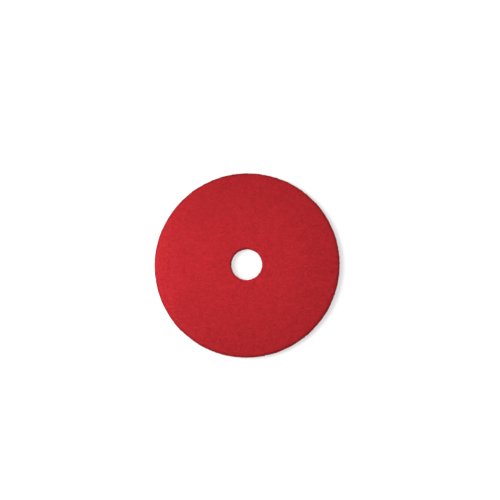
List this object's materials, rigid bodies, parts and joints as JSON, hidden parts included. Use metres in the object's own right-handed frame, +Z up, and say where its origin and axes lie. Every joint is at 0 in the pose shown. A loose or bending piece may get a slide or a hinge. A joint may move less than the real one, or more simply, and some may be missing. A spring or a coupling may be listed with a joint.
{
  "type": "floor buffing pad",
  "caption": "Thick round pad of coarse bonded fibre web with an open centre hole, which buffs and cleans hard floors under a rotary floor machine.",
  "frame": {"origin": "centre of the pad's lower face, where it lies on the floor, on the axis of the centre hole", "axes": "+Z up, out of the upper face, along the axis that the pad turns about; X and Y lie in the face, and the round pad has no front"},
  "size_m": [0.508, 0.508, 0.0254],
  "materials": {
    "coated_web": "matte",
    "open_web": "matte"
  },
  "bodies": {
    "root": {"upper_face_web": "coated_web", "core_web": "open_web", "lower_face_web": "coated_web"}
  },
  "joints": []
}
